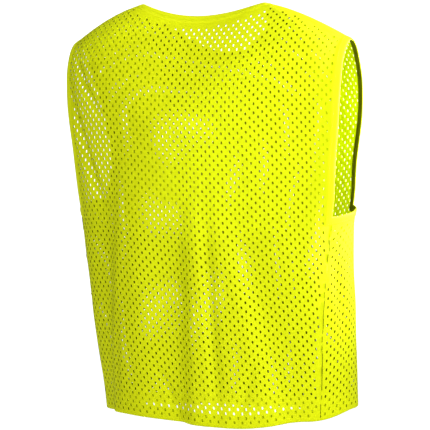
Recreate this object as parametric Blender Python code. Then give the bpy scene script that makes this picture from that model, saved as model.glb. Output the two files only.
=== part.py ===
"""Mesh training vest, kept in the hollow shape in which it is worn.

A back panel and a front panel are joined by shoulder and side seams. A plain binding finishes the
neck and each armhole, and the hem is turned up inside. Metres, +Z up. The front faces -Y, and the
wearer's left is +X. The origin lies midway between the two neck points, where shoulders carry it.

One skin is laid out first, as the outer face of the whole vest. Its faces are marked by piece, and
each piece is then thickened along the skin's own normals, so that neighbours meet in one plane.
"""
import math

import bmesh
import bpy
from mathutils import Vector

# Cloth, bindings and seams
CLOTH = 0.0012
HEM_CLOTH = 0.0024
BINDING_PROUD = 0.0005
SEAM_GAP = 0.0003
BINDING_WIDTH = 0.010
HEM_DEPTH = 0.017
HEM_STEP = 0.0015

# Heights below the neck points. The front's armhole corner is higher than the back's, and the
# edge between the two slopes across the side.
HEM_HEIGHT = -0.590
UNDERARM_HEIGHT = -0.296
FRONT_CORNER_HEIGHT = -0.283

# The shoulder seam, from the neck point out to the tip
NECK_HALF = 0.0915
SHOULDER_HALF = 0.210
SHOULDER_DROP = 0.050
SHOULDER_FORWARD = 0.030
SHOULDER_CURVE = 1.42
NECK_BOW = 0.6
TIP_ONSET = 1.3
SEAM_LEAN = 0.85
SEAM_BLEND = (-0.130, -0.068)
EDGE_SPREAD = 1.1
EDGE_SPREAD_LIMIT = 0.080

# The neckline's lowest point: how far below the neck points, and how far behind or before them,
# with a power that gives its curve
BACK_NECK = (0.018, 0.018, 1.1)
FRONT_NECK = (0.068, -0.095, 0.75)

# How the cloth rounds over to its top edge: the height that this takes and the roundness, at the
# middle and at the shoulder tip
BACK_ROUNDING = ((0.180, 1.5), (0.105, 2.0))
FRONT_ROUNDING = ((0.130, 1.5), (0.120, 2.0))

# The body of the vest, a row for each height: the ring's middle, half width and depths
# height, middle_x, middle_y, half_width, back_depth, front_depth
SECTIONS = (
    (0.010, 0.003, -0.030, 0.236, 0.100, 0.098),
    (-0.060, 0.003, -0.034, 0.239, 0.110, 0.106),
    (-0.140, 0.000, -0.037, 0.235, 0.115, 0.110),
    (-0.230, -0.001, -0.041, 0.223, 0.115, 0.110),
    (-0.310, 0.001, -0.045, 0.2075, 0.112, 0.108),
    (-0.430, -0.007, -0.048, 0.201, 0.110, 0.104),
    (-0.600, -0.018, -0.054, 0.194, 0.108, 0.098),
)

# How far the hem rises round the ring, 90 being the middle of the back and 270 of the front
# angle, rise
HEM_RISES = (
    (0.0, 0.001),
    (50.0, 0.006),
    (105.0, 0.000),
    (140.0, 0.010),
    (175.0, 0.024),
    (200.0, 0.025),
    (238.0, 0.004),
    (270.0, 0.000),
    (330.0, 0.000),
    (360.0, 0.001),
)

# Where the panels' side edges lie, in degrees round the ring from its widest point. Below the arms
# the back's edges are the side seams, and the vest hangs turned a little towards its left.
# height, back_left, back_right, front
EDGES = (
    (0.010, 25.0, 25.0, 25.0),
    (-0.070, 27.0, 27.0, 27.0),
    (-0.105, 27.3, 27.3, 27.3),
    (-0.150, 27.0, 27.0, 29.0),
    (-0.230, 26.0, 26.0, 30.0),
    (-0.283, 22.5, 22.5, 23.0),
    (-0.320, 20.0, 22.5, 22.0),
    (-0.430, 17.0, 29.0, 22.0),
    (-0.600, 14.0, 33.3, 22.0),
)

# Troughs between the folds, a row for each: the heights where it starts and ends, its angle
# round the ring at both (90 is the middle of the back, 270 of the front), and its size
# start, end, start_angle, end_angle, depth, width_before, width_after
FOLDS = (
    (-0.150, -0.590, 63.0, 28.0, 0.010, 0.050, 0.032),
    (-0.160, -0.590, 90.0, 79.0, 0.011, 0.072, 0.032),
    (-0.180, -0.590, 104.0, 132.0, 0.009, 0.034, 0.060),
    (-0.240, -0.590, 214.0, 206.0, 0.008, 0.036, 0.046),
    (-0.200, -0.590, 247.0, 238.0, 0.012, 0.048, 0.052),
    (-0.210, -0.590, 272.0, 276.0, 0.009, 0.042, 0.044),
    (-0.200, -0.590, 296.0, 306.0, 0.013, 0.054, 0.040),
    (-0.260, -0.590, 326.0, 338.0, 0.008, 0.042, 0.036),
)
FOLD_ONSET = 1.6

# Rows and columns of the grids
BODY_ROWS = 15
CHEST_ROWS = 14
SHOULDER_COLUMNS = 7
NECK_COLUMNS = 18
SIDE_COLUMNS = 6
ARC_SAMPLES = 48

# Small steps by which places are worked out
SETTLING_ROUNDS = 12
SHARE_STEP = 0.05
ANGLE_STEP = 1.0
LEAST_SCALE = 0.4
SHARP_ANGLE = math.radians(50)

MESH_COLOUR = (0.85, 1.0, 0.0, 1.0)
BINDING_COLOUR = (0.90, 1.0, 0.01, 1.0)
PIECES = (
    "back_panel",
    "front_panel",
    "neck_binding",
    "armhole_binding_left",
    "armhole_binding_right",
)
BODY_CENTRE = Vector((0.0, -0.045, -0.300))
WELD = 0.00002


def smooth(share):
    """0 to 1 with level ends."""
    share = min(1.0, max(0.0, share))
    return share * share * (3.0 - 2.0 * share)


def from_table(rows, height):
    """The row of a table at a height, on a smooth curve through its rows."""
    if height >= rows[0][0]:
        return rows[0][1:]
    if height <= rows[-1][0]:
        return rows[-1][1:]
    index = max(place for place in range(len(rows) - 1) if height < rows[place][0])
    share = (rows[index][0] - height) / (rows[index][0] - rows[index + 1][0])
    near = [rows[min(len(rows) - 1, max(0, index + step))][1:] for step in (-1, 0, 1, 2)]
    result = []
    for before, start, end, after in zip(*near):
        leave = (end - before) / 2
        arrive = (after - start) / 2
        cubic = 2 * (start - end) + leave + arrive
        square = 3 * (end - start) - 2 * leave - arrive
        result.append(((cubic * share + square) * share + leave) * share + start)
    return tuple(result)


def ring_point(height, angle):
    """A point of the smooth body ring, its angle in degrees from the wearer's left to the back."""
    middle_x, middle_y, half_width, back_depth, front_depth = from_table(SECTIONS, height)
    turn = math.radians(angle)
    depth = back_depth if math.sin(turn) > 0 else front_depth
    return Vector((middle_x + half_width * math.cos(turn), middle_y + depth * math.sin(turn), height))


def across(away, before, after):
    """A trough's profile, 1 in its middle and 0 past its widths, away from its line in metres."""
    width = before if away < 0 else after
    return (1 + math.cos(math.pi * away / width)) / 2 if abs(away) < width else 0.0


def fold_depth(height, angle, per_degree):
    """How far the troughs draw the cloth in at a height and angle."""
    total = 0.0
    for start, end, from_angle, to_angle, depth, before, after in FOLDS:
        share = (start - height) / (start - end)
        if share > 0:
            centre = from_angle + (to_angle - from_angle) * share
            away = ((angle - centre + 180.0) % 360.0 - 180.0) * per_degree
            total += depth * smooth(share * FOLD_ONSET) * across(away, before, after)
    return total


def body_point(height, angle):
    """A point of the cloth's outer face, folds included, before it rounds over to its top edge."""
    along = ring_point(height, angle + ANGLE_STEP) - ring_point(height, angle - ANGLE_STEP)
    outward = Vector((along.y, -along.x, 0.0)).normalized()
    per_degree = along.length / (2 * ANGLE_STEP)
    return ring_point(height, angle) - outward * fold_depth(height, angle, per_degree)


def top_edge(x, neck):
    """Depth and height of a panel's top edge at x: the neckline, then the shoulder seam."""
    drop, reach, power = neck
    away = abs(x)
    if away < NECK_HALF:
        bow = 1 - (away / NECK_HALF) ** 2
        return reach * bow ** NECK_BOW, -drop * bow ** power
    share = (away - NECK_HALF) / (SHOULDER_HALF - NECK_HALF)
    return -SHOULDER_FORWARD * share, -SHOULDER_DROP * share ** SHOULDER_CURVE


def softened_edge(x, neck, below):
    """The top edge as the cloth feels it from below: evened out over a width that grows."""
    width = min(EDGE_SPREAD_LIMIT, below * EDGE_SPREAD)
    near = [top_edge(x + width * step / 2, neck) for step in (-2, -1, 0, 1, 2)]
    return [sum(values) / len(near) for values in zip(*near)]


class Panel:
    """The surface of one panel. A place on it is a share from -1 at its right edge to 1 at its left
    edge, a height, and the x at which that column meets the top edge."""

    def __init__(self, is_back):
        self.middle_angle = 90.0 if is_back else 270.0
        self.turn = -1.0 if is_back else 1.0
        self.edge_columns = {1: 0, -1: 1} if is_back else {1: 2, -1: 2}
        self.neck = BACK_NECK if is_back else FRONT_NECK
        self.rounding = BACK_ROUNDING if is_back else FRONT_ROUNDING
        self.tip_x = {side: self.x_where_column_ends(side, self.full_share) for side in (-1, 1)}
        self.inset_x = {side: self.x_where_column_ends(side, self.inset_share) for side in (-1, 1)}

    def half_angle(self, height, side):
        """Degrees from the panel's middle to its side edge."""
        return 90.0 - from_table(EDGES, height)[self.edge_columns[1 if side > 0 else -1]]

    def share_at(self, x, height):
        """The share at which a level line of the panel has this x."""
        middle_x, _, half_width, _, _ = from_table(SECTIONS, height)
        turn = math.degrees(math.asin((x - middle_x) / half_width))
        return turn / self.half_angle(height, turn)

    def x_where_column_ends(self, side, share_for):
        """The x at which a side column meets the shoulder seam."""
        x = side * SHOULDER_HALF
        for _ in range(SETTLING_ROUNDS):
            height = top_edge(x, self.neck)[1]
            middle_x, _, half_width, _, _ = from_table(SECTIONS, height)
            share = share_for(side, height)
            x = middle_x + half_width * math.sin(math.radians(share * self.half_angle(height, side)))
        return x

    def full_share(self, side, height):
        """The share at which the armhole's finished edge lies."""
        return side

    def inset_share(self, side, height):
        """The share at which the armhole binding's inner edge lies. Near the shoulder seam it is
        measured along x, so that both panels agree there."""
        edge = self.point(side, height, side * SHOULDER_HALF)
        inside = self.point(side * (1.0 - SHARE_STEP), height, side * SHOULDER_HALF)
        beside = 1.0 - SHARE_STEP * BINDING_WIDTH / (edge - inside).length
        near_seam = smooth((height - SEAM_BLEND[0]) / (SEAM_BLEND[1] - SEAM_BLEND[0]))
        if near_seam > 0:
            at_seam = abs(self.share_at(self.tip_x[side] - side * BINDING_WIDTH * SEAM_LEAN, height))
            beside += (at_seam - beside) * near_seam
        return side * beside

    def point(self, share, height, top_x):
        """A point of the outer face."""
        drawn_y, drawn_height = top_edge(top_x, self.neck)
        edge_y, edge_height = softened_edge(top_x, self.neck, max(0.0, drawn_height - height))
        angle = self.middle_angle + self.turn * share * self.half_angle(height, share)
        place = body_point(min(height, drawn_height), angle)
        outward = smooth(abs(top_x) / SHOULDER_HALF * TIP_ONSET)
        reach, power = (low + (high - low) * outward for low, high in zip(*self.rounding))
        fall = min(1.0, max(0.0, (edge_height - height) / reach))
        place.y = edge_y + (place.y - edge_y) * (1 - (1 - fall) ** power) ** (1 / power)
        return place

    def neckline(self, angle, inset):
        """A point at an angle along the neckline, moved into the cloth by inset."""
        drop, _, power = self.neck
        shoulder_height = top_edge(NECK_HALF + inset, self.neck)[1]
        bow = abs(math.sin(angle)) ** (2 * power)
        x = (NECK_HALF + inset) * math.cos(angle)
        height = -(drop + inset) * bow + shoulder_height * (1 - bow)
        return self.point(self.share_at(x, height), height, x)

    def column_tops(self):
        """For each column that reaches the top, from right to left: x and height of its end, and
        its share measured with 1 at the armhole binding."""
        places = []
        for side in (-1, 1):
            neck_end = side * (NECK_HALF + BINDING_WIDTH)
            half = []
            for step in range(SHOULDER_COLUMNS):
                x = self.inset_x[side] + (neck_end - self.inset_x[side]) * step / SHOULDER_COLUMNS
                half.append((x, top_edge(x, self.neck)[1]))
            for step in range(NECK_COLUMNS // 2):
                place = self.neckline(math.pi * step / NECK_COLUMNS, BINDING_WIDTH)
                half.append((side * place.x, place.z))
            half = [(x, height, self.column_share(x, height, side)) for x, height in half]
            half[0] = (*half[0][:2], float(side))
            places.append(half)
        middle = self.neckline(math.pi / 2, BINDING_WIDTH)
        middle_share = self.column_share(middle.x, middle.z, 1)
        return places[0] + [(middle.x, middle.z, middle_share)] + places[1][::-1]

    def column_share(self, x, height, side):
        """A share measured with 1 at the armhole binding."""
        return self.share_at(x, height) / abs(self.inset_share(side, height))

    def angle_at_hem(self, column_share):
        """The angle round the ring at which a column meets the hem."""
        half_angle = self.half_angle(HEM_HEIGHT, column_share)
        return self.middle_angle + self.turn * column_share * half_angle

    def column(self, column_top, heights):
        """Points of one column at the heights."""
        x, _, column_share = column_top
        side = 1 if column_share > 0 else -1
        shares = [column_share * abs(self.inset_share(side, height)) for height in heights]
        return [self.point(share, height, x) for share, height in zip(shares, heights)]

    def edge(self, side, inset, low):
        """The armhole edge on one side, inset or not, from low to the shoulder seam."""
        x = (self.inset_x if inset else self.tip_x)[side]
        high = top_edge(x, self.neck)[1]
        if inset:
            column_top = (x, high, float(side))
            return self.column(column_top, self.even_heights(column_top, low))
        samples = [low + (high - low) * step / ARC_SAMPLES for step in range(ARC_SAMPLES + 1)]
        points = [self.point(side, height, x) for height in samples]
        return [self.point(side, height, x) for height in evenly(samples, points, CHEST_ROWS)]

    def even_heights(self, column_top, low):
        """Heights up a column's chest that part its curve into equal lengths."""
        high = column_top[1]
        samples = [low + (high - low) * step / ARC_SAMPLES for step in range(ARC_SAMPLES + 1)]
        return evenly(samples, self.column(column_top, samples), CHEST_ROWS)


def evenly(samples, points, count):
    """Samples read off where they part the line through the points into equal lengths."""
    lengths = [0.0]
    for first, second in zip(points, points[1:]):
        lengths.append(lengths[-1] + (second - first).length)
    chosen = [samples[0]]
    place = 0
    for step in range(1, count):
        target = lengths[-1] * step / count
        while lengths[place + 1] < target:
            place += 1
        share = (target - lengths[place]) / (lengths[place + 1] - lengths[place])
        chosen.append(samples[place] + (samples[place + 1] - samples[place]) * share)
    return chosen + [samples[-1]]


def hem_height(angle):
    """The height of the hem's lower edge at an angle round the ring."""
    angle = angle % 360.0
    index = max(place for place in range(len(HEM_RISES) - 1) if angle >= HEM_RISES[place][0])
    (start, low), (end, high) = HEM_RISES[index:index + 2]
    return HEM_HEIGHT + low + (high - low) * smooth((angle - start) / (end - start))


def body_heights(angle, top):
    """Heights from the hem to a column's body top, with two close rows where the hem ends."""
    low = hem_height(angle)
    start = low + HEM_DEPTH + HEM_STEP
    rest = [start + (top - start) * step / BODY_ROWS for step in range(BODY_ROWS + 1)]
    return [low, low + HEM_DEPTH] + rest


def seam_drop(side):
    """How far the binding's lower edge lies under the slope, the underarm and the front corner.
    The offset of a corner is worked out from the two lines that meet in it."""
    back_edge = from_table(EDGES, UNDERARM_HEIGHT)[0 if side > 0 else 1]
    front_edge = from_table(EDGES, FRONT_CORNER_HEIGHT)[2]
    level = (ring_point(UNDERARM_HEIGHT, back_edge) - ring_point(UNDERARM_HEIGHT, -front_edge)).length
    slope = math.atan2(FRONT_CORNER_HEIGHT - UNDERARM_HEIGHT, level)
    straight = BINDING_WIDTH / math.cos(slope)
    return straight, straight + BINDING_WIDTH * math.tan(slope), straight - BINDING_WIDTH * math.tan(slope)


def lay_grid(skin, piece, columns):
    """Faces of one piece through columns of points, turned away from the body's centre."""
    mark = skin.faces.layers.int["piece"]
    rows = [[skin.verts.new(point) for point in column] for column in columns]
    faces = []
    for first, second in zip(rows, rows[1:]):
        for index in range(len(first) - 1):
            corners = (first[index], second[index], second[index + 1], first[index + 1])
            faces.append(skin.faces.new(corners))
    outward = 0.0
    for face in faces:
        face[mark] = PIECES.index(piece)
        face.normal_update()
        outward += face.normal.dot(face.calc_center_median() - BODY_CENTRE) * face.calc_area()
    if outward < 0:
        bmesh.ops.reverse_faces(skin, faces=faces)


def lay_back(skin, panel):
    """The back panel. Its body reaches the side seams, and its chest ends at the bindings."""
    body_top = UNDERARM_HEIGHT - seam_drop(1)[1]
    tops = panel.column_tops()
    body = [panel.column(top, body_heights(panel.angle_at_hem(top[2]), body_top)) for top in tops]
    for side in (-1, 1):
        heights = body_heights(panel.angle_at_hem(side), UNDERARM_HEIGHT - seam_drop(side)[0])
        seam = [panel.point(side, height, panel.tip_x[side]) for height in heights]
        body.insert(0 if side < 0 else len(body), seam)
    lay_grid(skin, "back_panel", body)
    lay_grid(skin, "back_panel", [panel.column(top, panel.even_heights(top, body_top)) for top in tops])


def side_angle(front, side, share, height):
    """The angle round the ring under one arm, at a share of the way from the side seam to the
    front panel's armhole corner."""
    seam = from_table(EDGES, height)[0 if side > 0 else 1]
    corner = abs(front.inset_share(side, height)) * front.half_angle(height, side) - 90.0
    turned = seam + (corner - seam) * share
    return turned if side > 0 else 180.0 - turned


def side_places(side):
    """Along the slope under one arm, from the side seam to the front corner: each column's share,
    the height of the front panel's top and the height of the finished edge above it."""
    straight, _, at_front = seam_drop(side)
    low = UNDERARM_HEIGHT - straight
    rise = FRONT_CORNER_HEIGHT - UNDERARM_HEIGHT
    panel_rise = FRONT_CORNER_HEIGHT - at_front - low
    shares = [step / SIDE_COLUMNS for step in range(SIDE_COLUMNS + 1)]
    return [(share, low + panel_rise * share, UNDERARM_HEIGHT + rise * share) for share in shares]


def side_point(front, side, share, height):
    """A point of the cloth under the arm."""
    return body_point(height, side_angle(front, side, share, height))


def lay_front(skin, panel):
    """The front panel, which also covers the sides below the arms."""
    body_top = FRONT_CORNER_HEIGHT - seam_drop(1)[2]
    tops = panel.column_tops()
    body = [panel.column(top, body_heights(panel.angle_at_hem(top[2]), body_top)) for top in tops]
    for side in (-1, 1):
        for share, top, _ in reversed(side_places(side)[:-1]):
            heights = body_heights(side_angle(panel, side, share, HEM_HEIGHT), top)
            column = [side_point(panel, side, share, height) for height in heights]
            body.insert(0 if side < 0 else len(body), column)
    lay_grid(skin, "front_panel", body)
    lay_grid(skin, "front_panel", [panel.column(top, panel.even_heights(top, body_top)) for top in tops])


def lay_neck_binding(skin, panels):
    """The neck binding, a band round the neckline of both panels."""
    for panel in panels:
        angles = [math.pi * step / NECK_COLUMNS for step in range(NECK_COLUMNS + 1)]
        widths = (0.0, BINDING_WIDTH / 2, BINDING_WIDTH)
        columns = [[panel.neckline(angle, width) for width in widths] for angle in angles]
        lay_grid(skin, "neck_binding", columns)


def lay_armhole_binding(skin, panels, side):
    """One armhole's binding: up the back edge, over the shoulder, down the front and along the
    slope under the arm."""
    piece = "armhole_binding_left" if side > 0 else "armhole_binding_right"
    back, front = panels
    _, at_back, at_front = seam_drop(side)
    lows = (UNDERARM_HEIGHT - at_back, FRONT_CORNER_HEIGHT - at_front)
    corners = (UNDERARM_HEIGHT + BINDING_WIDTH / 3, FRONT_CORNER_HEIGHT)
    for panel, low, corner in zip(panels, lows, corners):
        lay_grid(skin, piece, list(zip(panel.edge(side, True, low), panel.edge(side, False, corner))))
    strip = [(back.edge(side, True, lows[0])[0], back.edge(side, False, corners[0])[0])]
    for share, top, edge in side_places(side):
        inner = side_point(front, side, share, top)
        outer = side_point(front, side, share, edge)
        if share == 0:
            outer = back.point(side, edge, back.tip_x[side])
        if share == 1:
            inner = front.edge(side, True, lows[1])[0]
            outer = front.edge(side, False, corners[1])[0]
        strip.append((inner, outer))
    lay_grid(skin, piece, strip)


def inward_moves(faces, within):
    """For each vertex on the rim of some faces, the move that draws both its rim edges back."""
    pulls = {}
    for face in faces:
        for edge in face.edges:
            if sum(1 for neighbour in edge.link_faces if neighbour in within) == 1:
                along = (edge.verts[1].co - edge.verts[0].co).normalized()
                inward = face.calc_center_median() - edge.verts[0].co
                inward = (inward - along * inward.dot(along)).normalized()
                for vert in edge.verts:
                    pulls.setdefault(vert, []).append(inward)
    moves = {}
    for vert, directions in pulls.items():
        total = sum(directions, Vector())
        scale = 1 + directions[0].dot(directions[-1]) if len(directions) == 2 else len(directions)
        moves[vert] = total * (SEAM_GAP / 2) / max(scale, LEAST_SCALE)
    return moves


def wall_offsets(piece, vert):
    """How far the outer and inner faces stand from the skin."""
    if "binding" in piece:
        return BINDING_PROUD, -CLOTH - BINDING_PROUD
    angle = math.degrees(math.atan2(vert.co.y - BODY_CENTRE.y, vert.co.x - BODY_CENTRE.x))
    in_hem = vert.co.z < hem_height(angle) + HEM_DEPTH + HEM_STEP / 2
    return 0.0, -HEM_CLOTH if in_hem else -CLOTH


def thicken(skin, piece):
    """A closed solid from the skin's faces of one piece."""
    mark = skin.faces.layers.int["piece"]
    within = {face for face in skin.faces if face[mark] == PIECES.index(piece)}
    faces = [face for face in skin.faces if face in within]
    moves = inward_moves(faces, within)
    solid = bmesh.new()
    outer = {}
    inner = {}
    for face in faces:
        for vert in face.verts:
            if vert not in outer:
                place = vert.co + moves.get(vert, Vector())
                out, back = wall_offsets(piece, vert)
                outer[vert] = solid.verts.new(place + vert.normal * out)
                inner[vert] = solid.verts.new(place + vert.normal * back)
    for face in faces:
        corners = list(face.verts)
        solid.faces.new([outer[vert] for vert in corners])
        solid.faces.new([inner[vert] for vert in reversed(corners)])
        for first, second in zip(corners, corners[1:] + corners[:1]):
            edge = next(edge for edge in face.edges if first in edge.verts and second in edge.verts)
            if sum(1 for neighbour in edge.link_faces if neighbour in within) == 1:
                solid.faces.new((outer[second], outer[first], inner[first], inner[second]))
    bmesh.ops.triangulate(solid, faces=solid.faces[:])
    return solid


def make_material(name, colour, roughness):
    """Knitted polyester in one colour."""
    material = bpy.data.materials.new(name)
    material.use_nodes = True
    shader = material.node_tree.nodes["Principled BSDF"]
    shader.inputs["Base Color"].default_value = colour
    shader.inputs["Roughness"].default_value = roughness
    shader.inputs["Metallic"].default_value = 0.0
    return material


def lay_skin():
    """The whole vest's outer face, with each face marked by its piece."""
    skin = bmesh.new()
    skin.faces.layers.int.new("piece")
    panels = (Panel(True), Panel(False))
    lay_back(skin, panels[0])
    lay_front(skin, panels[1])
    lay_neck_binding(skin, panels)
    for side in (1, -1):
        lay_armhole_binding(skin, panels, side)
    bmesh.ops.remove_doubles(skin, verts=skin.verts[:], dist=WELD)
    skin.normal_update()
    return skin


def main():
    for item in list(bpy.data.objects):
        bpy.data.objects.remove(item)
    materials = {
        "panel": make_material("mesh_cloth", MESH_COLOUR, 0.75),
        "binding": make_material("binding_cloth", BINDING_COLOUR, 0.65),
    }
    skin = lay_skin()
    for piece in PIECES:
        solid = thicken(skin, piece)
        mesh = bpy.data.meshes.new(piece)
        solid.to_mesh(mesh)
        solid.free()
        mesh.shade_smooth()
        mesh.set_sharp_from_angle(angle=SHARP_ANGLE)
        mesh.materials.append(materials["binding" if "binding" in piece else "panel"])
        bpy.context.scene.collection.objects.link(bpy.data.objects.new(piece, mesh))
    skin.free()


main()
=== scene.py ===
# %% [markdown]
# # A training vest in mesh cloth
#
# A training vest is a light sleeveless top that players pull over a shirt. It has a back panel and
# a front panel of knitted polyester mesh, plain knit bindings at the neck and armholes, and a hem
# that is turned up inside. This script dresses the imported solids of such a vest. Each solid is
# replaced by a thinner and finer piece with the same form.
#
# The vest hangs in the hollow shape in which it is worn. The front faces -Y, up is +Z, and the
# wearer's left is +X. All sizes are in metres.

import math
from bisect import bisect_right
from collections import namedtuple
from functools import lru_cache

import bmesh
import bpy
from mathutils import Matrix, Vector, noise


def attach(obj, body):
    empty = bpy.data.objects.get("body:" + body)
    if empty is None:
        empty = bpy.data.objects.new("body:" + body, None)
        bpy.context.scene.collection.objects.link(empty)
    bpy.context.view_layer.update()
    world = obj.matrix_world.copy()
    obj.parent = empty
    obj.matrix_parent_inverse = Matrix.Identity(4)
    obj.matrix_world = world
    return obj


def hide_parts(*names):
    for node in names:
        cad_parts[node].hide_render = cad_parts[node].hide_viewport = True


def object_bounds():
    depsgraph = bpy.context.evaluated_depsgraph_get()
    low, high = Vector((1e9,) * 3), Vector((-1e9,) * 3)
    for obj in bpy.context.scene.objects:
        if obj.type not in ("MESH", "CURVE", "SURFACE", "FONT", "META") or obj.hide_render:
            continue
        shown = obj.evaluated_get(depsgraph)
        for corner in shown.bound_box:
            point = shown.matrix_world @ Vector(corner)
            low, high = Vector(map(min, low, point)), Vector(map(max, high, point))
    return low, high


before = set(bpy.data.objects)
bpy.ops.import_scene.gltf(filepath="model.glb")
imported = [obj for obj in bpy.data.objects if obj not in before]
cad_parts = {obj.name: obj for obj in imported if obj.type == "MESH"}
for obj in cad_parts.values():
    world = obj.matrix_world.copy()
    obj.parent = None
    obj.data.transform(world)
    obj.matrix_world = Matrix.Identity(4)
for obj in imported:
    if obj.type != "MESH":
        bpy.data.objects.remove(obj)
cad_low, cad_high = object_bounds()
cad_size = cad_high - cad_low
print("Solids:", sorted(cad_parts))
print("Size in mm:", [round(side * 1000) for side in cad_size])

# %% [markdown]
# ## The worn form
#
# Hollow cloth keeps the form of the body that it was filled out by: an oval ring at each height,
# wider at the chest than at the hem. A table gives a few rings, and a smooth curve through its
# rows gives all the rings between them. The same numbers shape the solids, so that the cloth
# lands on them.

# %% Rings from the chest down to the hem
HEM_HEIGHT = -0.590
UNDERARM_HEIGHT = -0.296
FRONT_CORNER_HEIGHT = -0.283

# height, middle_x, middle_y, half_width, back_depth, front_depth
SECTIONS = (
    (0.010, 0.003, -0.030, 0.236, 0.100, 0.098),
    (-0.060, 0.003, -0.034, 0.239, 0.110, 0.106),
    (-0.140, 0.000, -0.037, 0.235, 0.115, 0.110),
    (-0.230, -0.001, -0.041, 0.223, 0.115, 0.110),
    (-0.310, 0.001, -0.045, 0.2075, 0.112, 0.108),
    (-0.430, -0.007, -0.048, 0.201, 0.110, 0.104),
    (-0.600, -0.018, -0.054, 0.194, 0.108, 0.098),
)


def smooth(share):
    """0 to 1 with level ends."""
    share = min(1.0, max(0.0, share))
    return share * share * (3.0 - 2.0 * share)


def from_table(rows, height):
    """The row of a table at a height, on a smooth curve through its rows."""
    if height >= rows[0][0]:
        return rows[0][1:]
    if height <= rows[-1][0]:
        return rows[-1][1:]
    index = max(place for place in range(len(rows) - 1) if height < rows[place][0])
    share = (rows[index][0] - height) / (rows[index][0] - rows[index + 1][0])
    near = [rows[min(len(rows) - 1, max(0, index + step))][1:] for step in (-1, 0, 1, 2)]
    result = []
    for before, start, end, after in zip(*near):
        leave = (end - before) / 2
        arrive = (after - start) / 2
        cubic = 2 * (start - end) + leave + arrive
        square = 3 * (end - start) - 2 * leave - arrive
        result.append(((cubic * share + square) * share + leave) * share + start)
    return tuple(result)


def ring_point(height, angle):
    """A point of the smooth ring, its angle in degrees from the wearer's left to the back."""
    middle_x, middle_y, half_width, back_depth, front_depth = from_table(SECTIONS, height)
    turn = math.radians(angle)
    depth = back_depth if math.sin(turn) > 0 else front_depth
    return Vector((middle_x + half_width * math.cos(turn), middle_y + depth * math.sin(turn), height))


print("Chest ring width in mm:", round(2000 * from_table(SECTIONS, -0.140)[2]))

# %% [markdown]
# ## Folds and creases
#
# Mesh cloth is soft, so it falls from the shoulder blades and the chest in long shallow folds.
# They start where the cloth is held out and get deeper towards the free hem. Shorter drag lines
# run down from the shoulders, and small ones lie just above the hem. A trough is a cosine across
# its line, and its two sides may differ in width. Small ones fade at both ends.

# %% Troughs in the cloth
# start, end, start_angle, end_angle, depth, width_before, width_after
FOLDS = (
    (-0.150, -0.590, 63.0, 28.0, 0.010, 0.050, 0.032),
    (-0.160, -0.590, 90.0, 79.0, 0.011, 0.072, 0.032),
    (-0.180, -0.590, 104.0, 132.0, 0.009, 0.034, 0.060),
    (-0.240, -0.590, 214.0, 206.0, 0.008, 0.036, 0.046),
    (-0.200, -0.590, 247.0, 238.0, 0.012, 0.048, 0.052),
    (-0.210, -0.590, 272.0, 276.0, 0.009, 0.042, 0.044),
    (-0.200, -0.590, 296.0, 306.0, 0.013, 0.054, 0.040),
    (-0.260, -0.590, 326.0, 338.0, 0.008, 0.042, 0.036),
)
FOLD_ONSET = 1.6

# top, bottom, top_angle, bottom_angle, depth, half_width
CREASES = (
    (-0.060, -0.165, 35.0, 56.0, 0.0050, 0.014),
    (-0.105, -0.300, 31.0, 50.0, 0.0065, 0.017),
    (-0.230, -0.620, 99.5, 98.0, 0.0050, 0.016),
    (-0.480, -0.600, 118.0, 104.0, 0.0035, 0.013),
    (-0.420, -0.585, 52.0, 40.0, 0.0035, 0.014),
    (-0.500, -0.620, 70.0, 84.0, 0.0030, 0.012),
    (-0.090, -0.230, 148.0, 134.0, 0.0035, 0.016),
    (-0.330, -0.520, 160.0, 171.0, 0.0040, 0.015),
    (-0.110, -0.250, 222.0, 236.0, 0.0045, 0.016),
    (-0.100, -0.270, 318.0, 303.0, 0.0050, 0.018),
    (-0.470, -0.610, 258.0, 250.0, 0.0035, 0.014),
    (-0.380, -0.600, 286.0, 291.0, 0.0045, 0.016),
    (-0.340, -0.540, 350.0, 343.0, 0.0040, 0.015),
)
RIPPLE = 0.0009
RIPPLE_SIZE = 0.060


def across(away, before, after):
    """A trough's profile, 1 in its middle and 0 past its widths."""
    width = before if away < 0 else after
    return (1 + math.cos(math.pi * away / width)) / 2 if abs(away) < width else 0.0


def fold_depth(height, angle, per_degree):
    """How far the troughs draw the cloth in at a height and angle."""
    total = 0.0
    for start, end, from_angle, to_angle, depth, before, after in FOLDS:
        share = (start - height) / (start - end)
        if share > 0:
            away = (angle - from_angle - (to_angle - from_angle) * share + 180.0) % 360.0 - 180.0
            total += depth * smooth(share * FOLD_ONSET) * across(away * per_degree, before, after)
    for top, bottom, from_angle, to_angle, depth, width in CREASES:
        share = (top - height) / (top - bottom)
        if 0 < share < 1:
            away = (angle - from_angle - (to_angle - from_angle) * share + 180.0) % 360.0 - 180.0
            total += depth * math.sin(math.pi * share) * across(away * per_degree, width, width)
    return total


def body_point(height, angle):
    """A point of the cloth's outer face, before it rounds over to its top edge."""
    along = ring_point(height, angle + 1.0) - ring_point(height, angle - 1.0)
    outward = Vector((along.y, -along.x, 0.0)).normalized()
    place = ring_point(height, angle)
    ripple = RIPPLE * noise.noise(place / RIPPLE_SIZE)
    return place + outward * (ripple - fold_depth(height, angle, along.length / 2.0))


print("Long folds:", len(FOLDS), "and short creases:", len(CREASES))

# %% [markdown]
# ## Shoulders, neckline and side edges
#
# Each panel rounds over at the top to its neckline and shoulder seam. The neckline is low at the
# front and nearly level at the back. The side edges are given as degrees round the ring: above
# the underarm they are the armholes, and below it the back's edges are the side seams. The vest
# hangs turned a little towards its left.

# %% Edges of the two panels
NECK_HALF = 0.0915
SHOULDER_HALF = 0.210
SHOULDER_DROP = 0.050
SHOULDER_FORWARD = 0.030
SHOULDER_CURVE = 1.42
NECK_BOW = 0.6
TIP_ONSET = 1.3
EDGE_SPREAD = 1.1
EDGE_SPREAD_LIMIT = 0.080

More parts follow.
